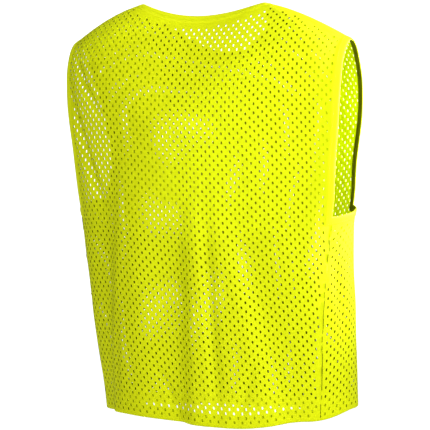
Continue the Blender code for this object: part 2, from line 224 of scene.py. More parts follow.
# height, back_left, back_right, front
EDGES = (
    (0.010, 25.0, 25.0, 25.0),
    (-0.070, 27.0, 27.0, 27.0),
    (-0.105, 27.3, 27.3, 27.3),
    (-0.150, 27.0, 27.0, 29.0),
    (-0.230, 26.0, 26.0, 30.0),
    (-0.283, 22.5, 22.5, 23.0),
    (-0.320, 20.0, 22.5, 22.0),
    (-0.430, 17.0, 29.0, 22.0),
    (-0.600, 14.0, 33.3, 22.0),
)

# neck is the neckline's drop, reach and curve; rounding is its height and power at the neck and tip
Panel = namedtuple("Panel", "middle_angle turn left_edge right_edge neck rounding")
BACK = Panel(90.0, -1.0, 0, 1, (0.018, 0.018, 1.1), ((0.180, 1.5), (0.105, 2.0)))
FRONT = Panel(270.0, 1.0, 2, 2, (0.068, -0.095, 0.75), ((0.130, 1.5), (0.120, 2.0)))


def top_edge(panel, x):
    """Depth and height of a panel's top edge at x: the neckline, then the shoulder seam."""
    drop, reach, power = panel.neck
    away = abs(x)
    if away < NECK_HALF:
        bow = 1 - (away / NECK_HALF) ** 2
        return reach * bow ** NECK_BOW, -drop * bow ** power
    share = (away - NECK_HALF) / (SHOULDER_HALF - NECK_HALF)
    return -SHOULDER_FORWARD * share, -SHOULDER_DROP * share ** SHOULDER_CURVE


def worn_point(panel, angle, height, top_x):
    """A point of a panel's outer face, in the column that meets the top edge at top_x."""
    drawn_height = top_edge(panel, top_x)[1]
    width = min(EDGE_SPREAD_LIMIT, max(0.0, drawn_height - height) * EDGE_SPREAD)
    near = [top_edge(panel, top_x + width * step / 2) for step in (-2, -1, 0, 1, 2)]
    edge_y, edge_height = [sum(values) / len(near) for values in zip(*near)]
    place = body_point(min(height, drawn_height), angle)
    outward = smooth(abs(top_x) / SHOULDER_HALF * TIP_ONSET)
    reach, power = (low + (high - low) * outward for low, high in zip(*panel.rounding))
    fall = min(1.0, max(0.0, (edge_height - height) / reach))
    place.y = edge_y + (place.y - edge_y) * (1 - (1 - fall) ** power) ** (1 / power)
    return place


print("Neck opening width in mm:", round(2000 * NECK_HALF))

# %% [markdown]
# ## Places on a panel
#
# A place across a panel is a share, from -1 at its right edge to 1 at its left edge. The shoulder
# tips are found by stepping: the edge's angle gives an x, which gives a height on the shoulder
# seam, which gives a new angle. It settles after a few rounds.

# %% Shares and shoulder tips
BINDING_WIDTH = 0.010
SEAM_LEAN = 0.85
SEAM_BLEND = (-0.130, -0.068)
SETTLING_ROUNDS = 12
SHARE_STEP = 0.05


def half_angle(panel, height, side):
    """Degrees from the panel's middle to its side edge."""
    column = panel.left_edge if side > 0 else panel.right_edge
    return 90.0 - from_table(EDGES, height)[column]


def share_at(panel, x, height):
    """The share at which a level line of the panel has this x."""
    middle_x, _, half_width, _, _ = from_table(SECTIONS, height)
    turn = math.degrees(math.asin((x - middle_x) / half_width))
    return turn / half_angle(panel, height, turn)


def angle_of(panel, share, height):
    """The angle round the ring at a share and height."""
    return panel.middle_angle + panel.turn * share * half_angle(panel, height, share)


def x_where_column_ends(panel, side, share_for):
    """The x at which a side column meets the shoulder seam."""
    x = side * SHOULDER_HALF
    for _ in range(SETTLING_ROUNDS):
        height = top_edge(panel, x)[1]
        middle_x, _, half_width, _, _ = from_table(SECTIONS, height)
        turn = share_for(panel, side, height) * half_angle(panel, height, side)
        x = middle_x + half_width * math.sin(math.radians(turn))
    return x


def full_share(panel, side, height):
    """The share at which the armhole's finished edge lies."""
    return side


TIP_X = {(panel, side): x_where_column_ends(panel, side, full_share)
         for panel in (BACK, FRONT) for side in (-1, 1)}


def inset_share(panel, side, height):
    """The share at which the armhole binding's inner edge lies."""
    top_x = side * SHOULDER_HALF
    edge = worn_point(panel, angle_of(panel, side, height), height, top_x)
    near = side * (1.0 - SHARE_STEP)
    inside = worn_point(panel, angle_of(panel, near, height), height, top_x)
    beside = 1.0 - SHARE_STEP * BINDING_WIDTH / (edge - inside).length
    near_seam = smooth((height - SEAM_BLEND[0]) / (SEAM_BLEND[1] - SEAM_BLEND[0]))
    if near_seam > 0:
        seam_x = TIP_X[panel, side] - side * BINDING_WIDTH * SEAM_LEAN
        beside += (abs(share_at(panel, seam_x, height)) - beside) * near_seam
    return side * beside


INSET_X = {(panel, side): x_where_column_ends(panel, side, inset_share)
           for panel in (BACK, FRONT) for side in (-1, 1)}
print("Shoulder tips at x in mm:", sorted({round(1000 * x) for x in TIP_X.values()}))

# %% [markdown]
# ## Columns of cloth
#
# Knitted mesh keeps the length of its columns when it drapes. So a column of the panel is followed
# from the hem to its cut end, and each length along it is matched with a height. The hem itself
# isn't level: a table gives how far it rises round the ring.
#
# The samples crowd together towards the top, where the cloth rounds over and runs nearly level.

# %% Lengths along a column
HEM_RISES = (
    (0.0, 0.001),
    (50.0, 0.006),
    (105.0, 0.000),
    (140.0, 0.010),
    (175.0, 0.024),
    (200.0, 0.025),
    (238.0, 0.004),
    (270.0, 0.000),
    (330.0, 0.000),
    (360.0, 0.001),
)
COLUMN_STEPS = 90
Column = namedtuple("Column", "angle_at top_x lengths heights")


def hem_height(angle):
    """The height of the hem's lower edge at an angle round the ring."""
    angle = angle % 360.0
    index = max(place for place in range(len(HEM_RISES) - 1) if angle >= HEM_RISES[place][0])
    (start, low), (end, high) = HEM_RISES[index:index + 2]
    return HEM_HEIGHT + low + (high - low) * smooth((angle - start) / (end - start))


def blend(low, high, share):
    """Between two values."""
    return low + (high - low) * share


def running_lengths(points):
    """The length of a line at each of its points."""
    lengths = [0.0]
    for first, second in zip(points, points[1:]):
        lengths.append(lengths[-1] + (second - first).length)
    return lengths


def lay_column(panel, angle_at, top_x, top):
    """A column of a panel from the hem to its cut end at the height top."""
    low = hem_height(angle_at(HEM_HEIGHT))
    shares = [(1 - step / COLUMN_STEPS) ** 2 for step in range(COLUMN_STEPS + 1)]
    heights = [top - (top - low) * share for share in shares]
    points = [worn_point(panel, angle_at(height), height, top_x) for height in heights]
    return Column(angle_at, top_x, running_lengths(points), heights)


def height_up(column, length):
    """The height at a length up a column from the hem."""
    index = min(len(column.lengths) - 2, max(0, bisect_right(column.lengths, length) - 1))
    start, end = column.lengths[index:index + 2]
    share = min(1.0, max(0.0, (length - start) / (end - start)))
    return column.heights[index] + (column.heights[index + 1] - column.heights[index]) * share


# %% [markdown]
# ## Distances round the body
#
# The knit's columns run parallel, and the side edges are cut across them. So a column keeps its
# distance from the panel's middle, measured round the body, and not its share of the width. A ring
# is an oval, whose arc has no simple formula, so it is summed up in small steps at a few heights.

# %% Arc lengths round the rings
LEVEL_STEP = 0.010
TURN_STEP = 3.0
TURN_LIMIT = 40


@lru_cache(maxsize=None)
def arcs(panel, level):
    """Signed arc lengths from a panel's middle, at even turns, on the ring of a level."""
    height = -level * LEVEL_STEP
    places = range(-TURN_LIMIT, TURN_LIMIT + 1)
    points = [ring_point(height, panel.middle_angle + panel.turn * place * TURN_STEP) for place in places]
    lengths = running_lengths(points)
    return [length - lengths[TURN_LIMIT] for length in lengths]


def between_levels(value_at, height):
    """A value worked out at the two levels next to a height, and blended."""
    level = max(-1, math.floor(-height / LEVEL_STEP))
    return blend(value_at(level), value_at(level + 1), -height / LEVEL_STEP - level)


def turn_at_arc(panel, arc, height):
    """Degrees from a panel's middle at a signed distance round the body."""
    def at_level(level):
        lengths = arcs(panel, level)
        index = min(len(lengths) - 2, max(0, bisect_right(lengths, arc) - 1))
        share = (arc - lengths[index]) / (lengths[index + 1] - lengths[index])
        return (index + share - TURN_LIMIT) * TURN_STEP
    return between_levels(at_level, height)


def arc_at_turn(panel, turn, height):
    """The signed distance round the body at a number of degrees from a panel's middle."""
    def at_level(level):
        lengths = arcs(panel, level)
        index = min(len(lengths) - 2, max(0, math.floor(turn / TURN_STEP) + TURN_LIMIT))
        return blend(lengths[index], lengths[index + 1], turn / TURN_STEP + TURN_LIMIT - index)
    return between_levels(at_level, height)


print("Back width at the chest in mm:", round(2000 * arc_at_turn(BACK, 63.0, -0.150)))

# %% [markdown]
# ## Where the cloth is cut
#
# The neckline and armholes are cut, and then bound with a folded strip, so the cut edge of the
# mesh lies hidden inside the fold. The front panel also wraps round under the arms to the side
# seams at the back. There it ends on a straight slope, from the back's underarm up to the front's
# own corner.

# %% Cut ends of the columns
NECK_CUT = 0.004
MESH_PITCH = 0.0117
CELL_WIDTH = MESH_PITCH / 2
BRACKET_ROUNDS = 40


def neckline(panel, angle, inset):
    """x and height at an angle along the neckline, moved into the cloth by inset."""
    drop, _, power = panel.neck
    shoulder_height = top_edge(panel, NECK_HALF + inset)[1]
    bow = abs(math.sin(angle)) ** (2 * power)
    height = -(drop + inset) * bow + shoulder_height * (1 - bow)
    return (NECK_HALF + inset) * math.cos(angle), height


def arc_at_x(panel, x, height):
    """The signed distance from a panel's middle of the place with this x."""
    return arc_at_turn(panel, share_at(panel, x, height) * half_angle(panel, height, x), height)


def halving(low, high, is_past):
    """The place between low and high from which on is_past is true."""
    for _ in range(BRACKET_ROUNDS):
        middle = (low + high) / 2
        low, high = (low, middle) if is_past(middle) else (middle, high)
    return high


def cut_end(panel, arc):
    """x and height of the upper cut end of the column at a distance from the middle."""
    side = 1 if arc > 0 else -1
    neck_x, neck_height = neckline(panel, 0.0, NECK_CUT)
    if abs(arc) < abs(arc_at_x(panel, side * neck_x, neck_height)):
        def is_past_neck(angle):
            return arc_at_x(panel, *neckline(panel, angle, NECK_CUT)) < arc
        return neckline(panel, halving(0.0, math.pi, is_past_neck), NECK_CUT)

    def is_past_shoulder(away):
        return abs(arc_at_x(panel, side * away, top_edge(panel, away)[1])) > abs(arc)
    away = halving(neck_x, abs(TIP_X[panel, side]), is_past_shoulder)
    return side * away, top_edge(panel, away)[1]


def seam_turn(panel, side, height):
    """Degrees from a panel's middle to its side seam, or to the back's armhole edge."""
    row = from_table(EDGES, height)
    at_back = row[BACK.left_edge if side > 0 else BACK.right_edge]
    return 90.0 - at_back if panel is BACK else 90.0 + at_back


# %% [markdown]
# ## The columns of both panels
#
# A column that would pass the side seam is held 0.4 degrees, about 1 mm, beyond it.

# %% Columns of both panels
SEAM_TUCK = 0.4
BODY_LEVELS = [UNDERARM_HEIGHT - LEVEL_STEP * step for step in range(30)]
CHEST_LEVELS = [-LEVEL_STEP * step for step in range(3, 30)]


def panel_columns(panel):
    """Columns at even distances from the panel's middle, out to its widest place."""
    levels = BODY_LEVELS + (CHEST_LEVELS if panel is BACK else [])
    widest = {side: max(abs(arc_at_turn(panel, side * seam_turn(panel, side, height), height))
                        for height in levels) for side in (-1, 1)}
    counts = {side: math.ceil(widest[side] / CELL_WIDTH) for side in (-1, 1)}
    columns = []
    for number in range(-counts[-1], counts[1] + 1):
        arc = number * CELL_WIDTH
        side = 1 if arc > 0 else -1
        x, top = cut_end(panel, arc)

        def angle_at(height, arc=arc, side=side):
            furthest = seam_turn(panel, side, height) + SEAM_TUCK
            turn = min(abs(turn_at_arc(panel, arc, height)), furthest)
            return panel.middle_angle + panel.turn * side * turn
        columns.append(lay_column(panel, angle_at, x, top))
    return columns


back_columns = panel_columns(BACK)
front_columns = panel_columns(FRONT)
print("Columns of cells:", len(back_columns) - 1, "on the back,", len(front_columns) - 1, "on the front")

# %% [markdown]
# ## Holes in the mesh
#
# The knitting machine leaves tall narrow holes in staggered rows, 11.7 mm apart across and 6.2 mm
# from row to row. A flat sheet can be drawn first and draped later, which keeps the holes even.
#
# The sheet starts as a grid with two cells to each hole. Where a hole comes, the edge between its
# two cells is dissolved. The rows are staggered like bricks, so each such brick has six corners,
# and moving those up and down in turn makes it a hexagon. It is inset by one even thickness and
# its middle is deleted. The sheet is drawn narrow, so that this even inset leaves a tall hole
# once the sheet has its true width.

# %% Draw a flat mesh sheet
ROW = 0.0062
ZIGZAG = 0.0012
NARROWED = 0.2668
HOLE_INSET = 0.001254
LOOSE_INSET = 0.001367
LOOSE_TURN = 48.0
# Where the front's inside shows beside an armhole, past SEEN_TURN degrees and above SEEN_HEIGHT, it keeps
# its yellow; elsewhere the inside is a painted shade.
SEEN_TURN = 30.0
SEEN_HEIGHT = -0.330
HOLE_SLANT = 0.10
HEM_DEPTH = 0.017
HEM_RADIUS = 0.0011
FOLD_ROWS = (-0.0017, 0.0, 0.0017)
HEM_ROWS = (-HEM_DEPTH, -2 * ROW, -ROW) + FOLD_ROWS
PLAIN_LINES = (0, 3, 4, 5)
FIRST_ROW = len(HEM_ROWS)


def row_places(longest):
    """Lengths up the cloth at which the grid has its rows, the turned hem's being negative."""
    above = [ROW * (step + 1) for step in range(math.ceil(longest / ROW))]
    return list(HEM_ROWS) + above


def flat_grid(count, rows):
    """A flat grid whose x is the column number, drawn narrow, and whose y is the length."""
    sheet = bmesh.new()
    bmesh.ops.create_grid(sheet, x_segments=count, y_segments=len(rows) - 1, size=0.5)
    for vert in sheet.verts:
        column = round((vert.co.x + 0.5) * count)
        row = round((vert.co.y + 0.5) * (len(rows) - 1))
        inner = 0 < column < count and row not in PLAIN_LINES
        zigzag = (ZIGZAG if (column + row) % 2 else -ZIGZAG) if inner else 0.0
        vert.co.x = column * CELL_WIDTH * NARROWED
        vert.co.y = rows[row] + zigzag
    return sheet


def cell_of(place, rows):
    """Column line and row of a point of the flat sheet."""
    return round(place.x / (CELL_WIDTH * NARROWED)), bisect_right(rows, place.y) - 1


def knit_holes(sheet, rows, has_hole, is_loose):
    """Opens the holes for which has_hole(column, row) is true, narrower where the cloth is loose."""
    between = []
    for edge in sheet.edges:
        first, second = edge.verts
        if abs(first.co.x - second.co.x) < CELL_WIDTH * NARROWED / 2:
            column, row = cell_of((first.co + second.co) / 2, rows)
            if len(edge.link_faces) == 2 and (column + row) % 2 == 0 and has_hole(column, row):
                between.append(edge)
    bmesh.ops.dissolve_edges(sheet, edges=between, use_verts=False)
    bricks = [face for face in sheet.faces if len(face.verts) == 6]
    for loose, inset in ((True, LOOSE_INSET), (False, HOLE_INSET)):
        faces = [face for face in bricks
                 if is_loose(*cell_of(face.calc_center_median(), rows)) == loose]
        bmesh.ops.inset_individual(sheet, faces=faces, thickness=inset, use_even_offset=True)
    for face in bricks:
        middle = face.calc_center_median()
        for vert in face.verts:
            vert.co.x += (vert.co.y - middle.y) * HOLE_SLANT * NARROWED
    bmesh.ops.delete(sheet, geom=bricks, context="FACES")
    return len(bricks)


# %% [markdown]
# ## Draping the sheet
#
# Each point of the flat sheet is carried to the worn form: its column gives the place round the
# ring, and its length gives the height. Points past the cut edge slide back onto it and merge.
# Below the fold line the cloth turns round a small radius and runs up again inside.
#
# At a side seam the two panels overlap by 2 mm, as in a flat seam, and the front lies under the
# back there.

# %% Drape a flat sheet on the worn form
WELD = 0.0006
LEAST_AREA = 2e-8
BODY_MIDDLE = Vector((0.0, -0.045, -0.300))
TUCK_DEPTH = 0.0002


def hem_turn(length):
    """Rise above the fold line and distance behind the outer face, at a length of the sheet."""
    quarter = HEM_RADIUS * math.pi / 2
    turned = min(quarter, max(-quarter, length)) / HEM_RADIUS
    rise = HEM_RADIUS * (1 - math.cos(turned)) + abs(length) - abs(turned) * HEM_RADIUS
    return rise, HEM_RADIUS * (1 - math.sin(turned))


def drape_point(panel, columns, place):
    """The worn place of a point of the flat sheet."""
    number = min(len(columns) - 1.0, max(0.0, place.x / (CELL_WIDTH * NARROWED)))
    index = min(len(columns) - 2, int(number))
    share = number - index
    near = columns[index:index + 2]
    rise, behind = hem_turn(place.y)
    height = blend(*[height_up(column, rise) for column in near], share)
    angle = blend(*[column.angle_at(height) for column in near], share)
    worn = worn_point(panel, angle, height, blend(near[0].top_x, near[1].top_x, share))
    along = ring_point(height, angle + 1.0) - ring_point(height, angle - 1.0)
    turn = (angle - panel.middle_angle) * panel.turn
    if panel is FRONT and abs(turn) > seam_turn(panel, turn, height) - 2 * SEAM_TUCK:
        behind += TUCK_DEPTH
    return worn - Vector((along.y, -along.x, 0.0)).normalized() * behind


def drape(panel, columns, sheet):
    """Moves the whole flat sheet, and keeps its flat places as a UV map in metres."""
    flat_map = sheet.loops.layers.uv.new("flat")
    for face in sheet.faces:
        for loop in face.loops:
            loop[flat_map].uv = (loop.vert.co.x / NARROWED, loop.vert.co.y)
    for vert in sheet.verts:
        vert.co = drape_point(panel, columns, vert.co)
    bmesh.ops.remove_doubles(sheet, verts=sheet.verts[:], dist=WELD)
    slivers = [face for face in sheet.faces if face.calc_area() < LEAST_AREA]
    bmesh.ops.delete(sheet, geom=slivers, context="FACES")
    sheet.normal_update()
    outward = sum(face.normal.dot(face.calc_center_median() - BODY_MIDDLE) for face in sheet.faces)
    if outward < 0:
        bmesh.ops.reverse_faces(sheet, faces=sheet.faces[:])


# %% [markdown]
# ## From sheet to piece
#
# A sheet becomes an object with a thin wall. Solidify adds the wall on the inside, so the outer
# face stays where it was draped, and gives the inner face and the cut edges of the holes the next
# material slot. On the panels that slot is a painted shade away from the armholes and the turned
# hem: a dark olive for the shade inside the hollow vest, so that the holes look dark. The holes'
# edges are kept sharp, because smooth shading across them would turn each hole into a dimple.

# %% Make an object of a sheet
MESH_WALL = 0.0009


def make_piece(name, sheet, materials, wall=None, inner_slot=0):
    """An object from a bmesh, with a wall if one is given."""
    mesh = bpy.data.meshes.new(name)
    for face in sheet.faces:
        face.smooth = True
    for edge in sheet.edges:
        edge.smooth = not edge.is_boundary
    sheet.to_mesh(mesh)
    sheet.free()
    for material in materials:
        mesh.materials.append(material)
    piece = bpy.data.objects.new(name, mesh)
    bpy.context.scene.collection.objects.link(piece)
    if wall:
        solidify = piece.modifiers.new("wall", "SOLIDIFY")
        solidify.thickness = wall
        solidify.offset = -1.0
        # The inner face and the cut edges take the slot after their own. On the panels that slot is
        # mostly a painted shade.
        solidify.material_offset = inner_slot
        solidify.material_offset_rim = inner_slot
    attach(piece, "root")
    return piece


# %% [markdown]
# ## Fluorescent knit
#
# The mesh is warp-knitted polyester, dyed a fluorescent yellow that reflects red and green light
# almost fully and no blue. Polyester yarn has a soft sheen at grazing angles, and the thin cloth
# lets some light through, which a Translucent shader gives. Deep inside, the inner face is painted
# in shade: a dark olive for the shade where little light reaches behind the holes. Beside the
# armholes and on the turned hem it keeps the knit's own yellow. The bindings' inner face is painted
# in shade too. The bump is the knit's fine columns, about 0.9 mm apart, which only break up the
# light a little.

# %% Materials
def linear(code):
    """A linear colour from an sRGB hex code."""
    values = [int(code[place:place + 2], 16) / 255 for place in (1, 3, 5)]
    turned = [value / 12.92 if value <= 0.04045 else ((value + 0.055) / 1.055) ** 2.4 for value in values]
    return (*turned, 1.0)


def add_node(tree, kind, settings, links=()):
    """A node with its settings, sockets by name, and (socket, output) links into it."""
    node = tree.nodes.new(kind)
    for name, value in settings.items():
        if name in node.inputs:
            node.inputs[name].default_value = value
        else:
            setattr(node, name, value)
    for name, output in links:
        tree.links.new(output, node.inputs[name])
    return node


def knit_material(name, colour, glow_colour, roughness, sheen, through, rib, rib_depth):
    """Knitted cloth: its colour, the light that passes through it, and its ribs in metres."""
    material = bpy.data.materials.new(name)
    material.use_nodes = True
    tree = material.node_tree
    tree.nodes.clear()
    place = add_node(tree, "ShaderNodeUVMap", {"uv_map": "flat"})
    ribs = add_node(tree, "ShaderNodeTexWave", {
        "wave_type": "BANDS", "bands_direction": "X", "wave_profile": "SIN",
        "Scale": 1 / rib / 3.18, "Distortion": 0.0,
    }, [("Vector", place.outputs["UV"])])
    bump = add_node(tree, "ShaderNodeBump", {"Strength": 0.5, "Distance": rib_depth},
                    [("Height", ribs.outputs["Fac"])])
    cloth = add_node(tree, "ShaderNodeBsdfPrincipled", {
        "Base Color": linear(colour), "Roughness": roughness, "Metallic": 0.0,
        "Sheen Weight": sheen, "Sheen Roughness": 0.4, "Sheen Tint": linear(colour),
        "Specular IOR Level": 0.15,
    }, [("Normal", bump.outputs["Normal"])])
    glow = add_node(tree, "ShaderNodeBsdfTranslucent", {"Color": linear(glow_colour)})
    both = add_node(tree, "ShaderNodeMixShader", {"Fac": through},
                    [(1, cloth.outputs["BSDF"]), (2, glow.outputs["BSDF"])])
    add_node(tree, "ShaderNodeOutputMaterial", {}, [("Surface", both.outputs["Shader"])])
    return material


YELLOW = "#F4FF00"
mesh_face = knit_material("mesh_knit_face", YELLOW, YELLOW, 0.70, 0.10, 0.13, 0.0009, 0.0003)
# Painted shade: the inside deep in the vest is drawn dark olive for the shade that falls there, so the
# holes look dark.
mesh_inside_painted_shade = knit_material("mesh_knit_inside_painted_shade", "#454900", YELLOW, 0.85, 0.0, 0.26, 0.0009, 0.0003)
mesh_seen_inside = knit_material(
    "mesh_knit_seen_inside", "#DCE800", YELLOW, 0.85, 0.0, 0.40, 0.0009, 0.0003)
binding_face = knit_material("binding_rib_knit", "#F6FF08", YELLOW, 0.62, 0.15, 0.05, 0.0016, 0.0002)
# Painted shade: the binding's inner face is drawn dark olive for the shade that it lies in.
binding_inside_painted_shade = knit_material("binding_knit_inside_painted_shade", "#8A9200", YELLOW, 0.85, 0.0, 0.0, 0.0016, 0.0002)
thread = knit_material("polyester_thread", "#EDFA0A", YELLOW, 0.50, 0.10, 0.0, 0.0010, 0.0001)
print("Materials:", [material.name for material in bpy.data.materials])

# %% [markdown]
# ## The two panels
#
# Holes are left out where they would be sewn over: next to a side seam, under the bindings, on the
# fold of the hem, and where a brick would cross the cut edge. Behind the hem the turned cloth
# closes the holes of the outer layer, so that they show only faintly. The front hangs looser than
# the back, which the shoulder blades hold out, so in its middle the holes are a little narrower.

# %% Which cells and holes a panel has
SEAM_CLEAR = 0.0050
BINDING_CLEAR = 0.0124
EDGE_CLEAR = 0.0005


def place_of(panel, columns, column, row, rows):
    """Height and signed degrees from the middle, at a crossing of the grid."""
    height = height_up(columns[column], hem_turn(rows[row])[0])
    return height, (columns[column].angle_at(height) - panel.middle_angle) * panel.turn


def slope_height(side, turn, height):
    """The height of the finished edge under an arm, at degrees from the front's middle."""
    row = from_table(EDGES, height)
    at_back = row[BACK.left_edge if side > 0 else BACK.right_edge]
    share = (90.0 + at_back - abs(turn)) / (at_back + row[FRONT.left_edge])
    return blend(UNDERARM_HEIGHT, FRONT_CORNER_HEIGHT, min(1.0, max(0.0, share)))


def inside_bindings(panel, height, turn, clear):
    """Whether a place is at least a distance inside the armhole's finished edge."""
    side = 1 if turn > 0 else -1
    arc = abs(arc_at_turn(panel, turn, height))
    edge = abs(arc_at_turn(panel, side * half_angle(panel, height, side), height))
    if panel is BACK:
        return height < UNDERARM_HEIGHT - clear or edge - arc >= clear
    return edge - arc >= clear or height < slope_height(side, turn, height) - clear


def room_above(columns, column, row, rows):
    """How much cloth is left above a brick, on its column and the two next to it."""
    near = columns[max(0, column - 1):column + 2]
    return min(place.lengths[-1] for place in near) - rows[row + 1]


def has_hole(panel, columns, rows, column, row):
    """Whether a brick has its hole, being clear of seams, folds and bindings."""
    if row < FIRST_ROW or not 0 < column < len(columns) - 1:
        return False
    if room_above(columns, column, row, rows) < BINDING_CLEAR:
        return False
    height, turn = place_of(panel, columns, column, row, rows)
    side = 1 if turn > 0 else -1
    seam = arc_at_turn(panel, side * seam_turn(panel, side, height), height)
    to_seam = abs(seam) - abs(arc_at_turn(panel, turn, height))
    return to_seam > SEAM_CLEAR and all(
        inside_bindings(panel, height, turn, BINDING_CLEAR)
        for height, turn in (place_of(panel, columns, column, row + up, rows) for up in (0, 1)))


# %% [markdown]
# ## Making a whole panel
#
# The flat sheet is cut to its outline, its holes are opened, and only then is it draped.

# %% Cut a panel, open its holes and drape it
def trim(sheet, panel, columns, rows):
    """Removes the cells past the top's cut edge, and those that reach past a binding."""
    beyond = []
    for face in sheet.faces:
        corners = [(round(vert.co.x / (CELL_WIDTH * NARROWED)), vert.co.y) for vert in face.verts]
        past_top = all(length >= columns[column].lengths[-1] - ZIGZAG for column, length in corners)
        row = bisect_right(rows, sum(length for _, length in corners) / 4) - 1
        places = [place_of(panel, columns, column, row + up, rows)
                  for column in {column for column, _ in corners} for up in (0, 1)]
        if past_top or not all(inside_bindings(panel, *place, EDGE_CLEAR) for place in places):
            beyond.append(face)
    bmesh.ops.delete(sheet, geom=beyond, context="FACES")


def make_panel(name, panel, columns):
    """A whole panel as a piece."""
    rows = row_places(max(column.lengths[-1] for column in columns))
    sheet = flat_grid(len(columns) - 1, rows)
    trim(sheet, panel, columns, rows)

    def is_open(column, row):
        return has_hole(panel, columns, rows, column, row)

    def is_loose(column, row):
        return panel is FRONT and abs(place_of(panel, columns, column, row, rows)[1]) < LOOSE_TURN
    holes = knit_holes(sheet, rows, is_open, is_loose)
    for face in sheet.faces:
        column, row = cell_of(face.calc_center_median(), rows)
        height, turn = place_of(panel, columns, min(column, len(columns) - 1), row, rows)
        # Beside the armholes and on the turned hem the inside keeps its yellow (slot 3). The rest of the
        # inside gets the painted shade (slot 1).
        beside_arm = panel is FRONT and abs(turn) > SEEN_TURN and height > SEEN_HEIGHT
        face.material_index = 2 if beside_arm or row < FIRST_ROW - 1 else 0
    drape(panel, columns, sheet)
    print(name, "has", holes, "holes")
    return make_piece(name, sheet, (mesh_face, mesh_inside_painted_shade, mesh_face, mesh_seen_inside), MESH_WALL, 1)


back_piece = make_panel("back_mesh", BACK, back_columns)
front_piece = make_panel("front_mesh", FRONT, front_columns)

# %% [markdown]
# ## Bindings
#
# The neck and armholes are finished with a strip of plain rib knit, 23 mm wide before it is sewn
# on. It is folded lengthwise over the cut edge and stitched down, so it shows as a soft rounded
# band of 10 mm on both faces.
#
# The band is made from two lines: the finished edge, and the place where the band ends on the
# panel. A flat grid between them gives the direction out of the cloth. Then a second grid follows
# the folded profile round: out over the face, round the edge, and in again behind.

# %% Lines that the bindings follow
EDGE_STEPS = 46
NECK_STEPS = 60
SLOPE_STEPS = 14
ARC_SAMPLES = 96


def evenly(samples, points, count):
    """Samples read off where they part the line through the points into equal lengths."""
    lengths = running_lengths(points)
    chosen = []
    for step in range(count + 1):
        target = lengths[-1] * step / count
        index = min(len(samples) - 2, max(0, bisect_right(lengths, target) - 1))
        share = (target - lengths[index]) / (lengths[index + 1] - lengths[index])
        chosen.append(blend(samples[index], samples[index + 1], min(1.0, share)))
    return chosen


def edge_line(panel, side, inset, low):
    """The armhole edge of a panel, or the binding's inner edge, from low to the shoulder seam."""
    share_for = inset_share if inset else full_share
    x = (INSET_X if inset else TIP_X)[panel, side]
    high = top_edge(panel, x)[1]

    def point_at(height):
        share = share_for(panel, side, height)
        return worn_point(panel, angle_of(panel, share, height), height, x)
    samples = [blend(high, low, (1 - step / ARC_SAMPLES) ** 2) for step in range(ARC_SAMPLES + 1)]
    points = [point_at(height) for height in samples]
    return [point_at(height) for height in evenly(samples, points, EDGE_STEPS)]


def neck_line(inset):
    """The neckline, or a line inside it, right round from the wearer's left."""
    points = []
    for panel, turn in ((BACK, 1), (FRONT, -1)):
        for step in range(NECK_STEPS):
            angle = math.pi * (step if turn > 0 else NECK_STEPS - step) / NECK_STEPS
            x, height = neckline(panel, angle, inset)
            ring_angle = angle_of(panel, share_at(panel, x, height), height)
            points.append(worn_point(panel, ring_angle, height, x))
    return points


def under_arm_angle(side, share, height):
    """The angle under an arm, at a share of the way from the side seam to the front's edge."""
    row = from_table(EDGES, height)
    back_edge = row[BACK.left_edge if side > 0 else BACK.right_edge]
    turned = back_edge - (back_edge + row[FRONT.left_edge]) * share
    return 360.0 + turned if side > 0 else 180.0 - turned


def slope_drops(side):
    """How far the binding's lower edge lies under the slope, its back corner and its front one."""
    back_edge = from_table(EDGES, UNDERARM_HEIGHT)[BACK.left_edge if side > 0 else BACK.right_edge]
    front_edge = from_table(EDGES, FRONT_CORNER_HEIGHT)[FRONT.left_edge]
    seam = ring_point(UNDERARM_HEIGHT, back_edge)
    level = (seam - ring_point(UNDERARM_HEIGHT, -front_edge)).length
    slope = math.atan2(FRONT_CORNER_HEIGHT - UNDERARM_HEIGHT, level)
    straight = BINDING_WIDTH / math.cos(slope)
    lean = BINDING_WIDTH * math.tan(slope)
    return straight, straight + lean, straight - lean


def armhole_lines(side):
    """The armhole's finished edge and the binding's inner edge, right round from the underarm."""
    _, at_back, at_front = slope_drops(side)
    low, high = UNDERARM_HEIGHT - at_back, FRONT_CORNER_HEIGHT - at_front
    outer = edge_line(BACK, side, False, UNDERARM_HEIGHT)
    inner = edge_line(BACK, side, True, low)
    outer += edge_line(FRONT, side, False, FRONT_CORNER_HEIGHT)[-2::-1]
    inner += edge_line(FRONT, side, True, high)[-2::-1]
    turn = 360.0 if side > 0 else 0.0
    for step in range(1, SLOPE_STEPS):
        share = 1 - step / SLOPE_STEPS
        edge = blend(UNDERARM_HEIGHT, FRONT_CORNER_HEIGHT, share)
        outer.append(body_point(edge, under_arm_angle(side, share, edge)))
        under = blend(low, high, share)
        at_seam = angle_of(BACK, inset_share(BACK, side, under), under)
        at_corner = angle_of(FRONT, inset_share(FRONT, side, under), under) - turn
        inner.append(body_point(under, blend(at_seam, at_corner, share)))
    return outer, inner


BINDINGS = {
    "neck_binding": (neck_line(0.0), neck_line(BINDING_WIDTH)),
    "armhole_binding_left": armhole_lines(1),
    "armhole_binding_right": armhole_lines(-1),
}
print("Finished edges in mm:", {name: round(1000 * running_lengths(outer + outer[:1])[-1])
                                for name, (outer, _) in BINDINGS.items()})

# %% [markdown]
# A band's folded profile is a short table. Each row gives how far it lies from the finished edge
# as a share of the band's width, and how far it stands out from the cloth's face. The band is
# thickest near the fold, and it is drawn flat where it is stitched.

# %% Fold a band over an edge
BAND_WALL = 0.0005
